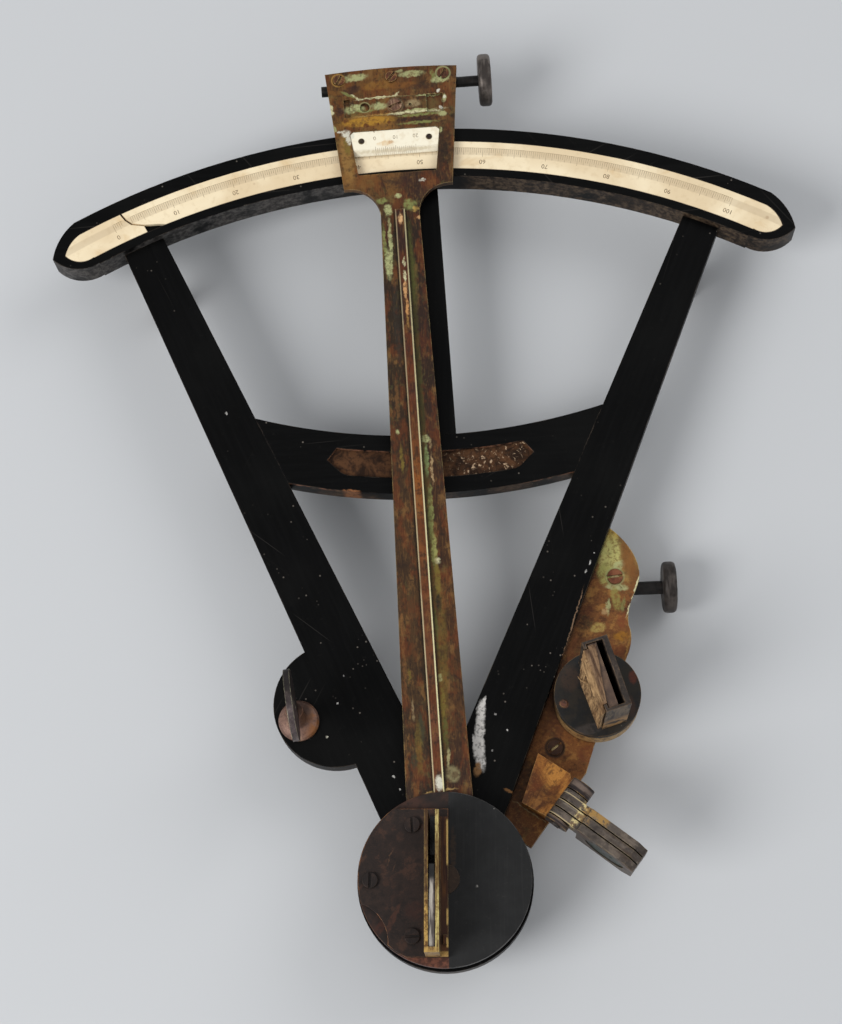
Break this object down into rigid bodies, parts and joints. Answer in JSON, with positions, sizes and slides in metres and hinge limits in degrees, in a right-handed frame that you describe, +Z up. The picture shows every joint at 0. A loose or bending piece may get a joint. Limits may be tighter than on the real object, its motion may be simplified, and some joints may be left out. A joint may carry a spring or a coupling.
{
  "type": "octant sextant",
  "caption": "Wooden-framed octant of the sextant family with an ivory scale, a brass index arm with vernier, tangent screw and clamp, two mirrors, hinged shades and a sight vane.",
  "frame": {"origin": "on the index arm's pivot axis, at the underside of the hollow foot that covers the pivot, in the plane that the feet stand on", "axes": "+Y from the pivot to the middle of the graduated arc, +Z up along the pivot axis to the side that is read, +X to the right, where the horizon mirror is"},
  "size_m": [0.2388, 0.2974, 0.0626],
  "materials": {
    "ebony": "polished, scratched and worn brown at its edges",
    "ivory": "old ivory with stains, polished",
    "worn_brass": "dark patina with bright worn edges",
    "dark_brass": "dark brown patina",
    "black_paint": "matte black, worn",
    "dark_steel": "browned",
    "packing_wood": "raw, broken",
    "old_mirror": "old, dull silvering",
    "red_shade": "dark tinted",
    "green_shade": "dark tinted"
  },
  "bodies": {
    "frame": {"left_limb": "ebony", "right_limb": "ebony", "graduated_arc": "ebony", "crossbar": "ebony", "centre_strut": "ebony", "ivory_scale": "ivory", "ivory_scale_end": "ivory", "frame_feet": "worn_brass", "pivot_foot": "worn_brass", "pivot_plate": "dark_brass", "pivot_socket": "worn_brass", "pivot_back_plate": "dark_brass", "horizon_plate": "worn_brass", "horizon_plate_screws": "dark_brass", "bracket_screws": "worn_brass", "horizon_boss": "dark_brass", "adjuster_block": "worn_brass", "shade_bracket": "worn_brass", "shade_pin": "dark_steel", "sight_base": "dark_brass", "sight_vane": "worn_brass", "sight_nut": "dark_brass"},
    "index_arm_body": {"index_arm": "worn_brass", "arm_rib": "worn_brass", "pivot_disc": "black_paint", "pivot_shaft": "dark_brass", "pivot_washer": "worn_brass", "pivot_screw": "dark_steel", "mirror_plate": "dark_brass", "mirror_plate_screws": "dark_brass", "index_mirror_frame": "worn_brass", "index_mirror_glass": "old_mirror", "vernier_scale": "ivory", "vernier_pins": "dark_brass", "tangent_lugs": "dark_brass", "end_plate_screws": "worn_brass"},
    "clamp": {"clamp_slide": "worn_brass", "slide_screw": "worn_brass", "clamp_bracket": "dark_brass"},
    "clamp_shoe_body": {"clamp_shoe": "worn_brass"},
    "clamp_screw_body": {"clamp_screw": "dark_brass", "clamp_knob": "dark_brass"},
    "tangent_screw_body": {"tangent_screw": "dark_steel", "tangent_knob": "dark_steel"},
    "horizon_mirror": {"horizon_disc": "black_paint", "horizon_stem": "dark_steel", "horizon_lever": "dark_brass", "stem_nut": "dark_brass", "horizon_mirror_frame": "dark_brass", "horizon_mirror_glass": "old_mirror", "horizon_packing": "packing_wood"},
    "adjusting_screw_body": {"adjusting_screw": "dark_steel", "adjusting_knob": "dark_steel"},
    "adjusting_nut_body": {"adjusting_nut": "worn_brass"},
    "shade_1": {"shade_frame_1": "dark_brass", "shade_glass_1": "red_shade"},
    "shade_2": {"shade_frame_2": "dark_brass", "shade_glass_2": "red_shade"},
    "shade_3": {"shade_frame_3": "dark_brass", "shade_glass_3": "green_shade"}
  },
  "joints": [
    {"name": "index_arm_swing", "type": "hinge", "parent": "frame", "child": "index_arm_body", "pos_m": [0, 0, 0.0284], "axis": [0, 0, 1], "range_deg": [-27.8, 24.1]},
    {"name": "tangent_screw_turn", "type": "hinge", "parent": "index_arm_body", "child": "tangent_screw_body", "pos_m": [-0.0084, 0.26147, 0.0235], "axis": [-0.9995, -0.0321, 0], "range_deg": [-702, 1926]},
    {"name": "clamp_travel", "type": "slide", "parent": "index_arm_body", "child": "clamp", "axis": [0.9995, 0.0321, 0], "range_m": [-0.00196, 0.00536]},
    {"name": "clamp_shoe_travel", "type": "slide", "parent": "clamp", "child": "clamp_shoe_body", "axis": [0, 0, 1], "range_m": [-0.0006, 0.00025]},
    {"name": "clamp_screw_turn", "type": "hinge", "parent": "clamp_shoe_body", "child": "clamp_screw_body", "pos_m": [-0.00905, 0.23503, 0.012], "axis": [0, 0, 1], "range_deg": [-271, 113]},
    {"name": "horizon_mirror_turn", "type": "hinge", "parent": "frame", "child": "horizon_mirror", "pos_m": [0.0482, 0.0548, 0.0284], "axis": [0, 0, 1], "range_deg": [-3.5, 3.5]},
    {"name": "adjusting_screw_turn", "type": "hinge", "parent": "frame", "child": "adjusting_screw_body", "pos_m": [0.06, 0.0916, 0.0094], "axis": [-1, 0, 0], "range_deg": [-990, 990]},
    {"name": "adjusting_nut_travel", "type": "slide", "parent": "frame", "child": "adjusting_nut_body", "axis": [1, 0, 0], "range_m": [-0.00221, 0.00221]},
    {"name": "shade_1_swing", "type": "hinge", "parent": "frame", "child": "shade_1", "pos_m": [0.0378, 0.02, 0.0379], "axis": [-0.6239, -0.7815, 0], "range_deg": [0, 180]},
    {"name": "shade_2_swing", "type": "hinge", "parent": "frame", "child": "shade_2", "pos_m": [0.0378, 0.02, 0.0379], "axis": [-0.6239, -0.7815, 0], "range_deg": [0, 180]},
    {"name": "shade_3_swing", "type": "hinge", "parent": "frame", "child": "shade_3", "pos_m": [0.0378, 0.02, 0.0379], "axis": [-0.6239, -0.7815, 0], "range_deg": [0, 180]}
  ],
  "couplings": [
    {"joint": "clamp_travel", "follows": "tangent_screw_turn", "m_per_rad": 0.00015915},
    {"joint": "clamp_screw_turn", "follows": "clamp_shoe_travel", "rad_per_m": 7854},
    {"joint": "adjusting_nut_travel", "follows": "adjusting_screw_turn", "m_per_rad": 0.00012732},
    {"joint": "horizon_mirror_turn", "follows": "adjusting_screw_turn", "ratio": -0.0034574}
  ]
}
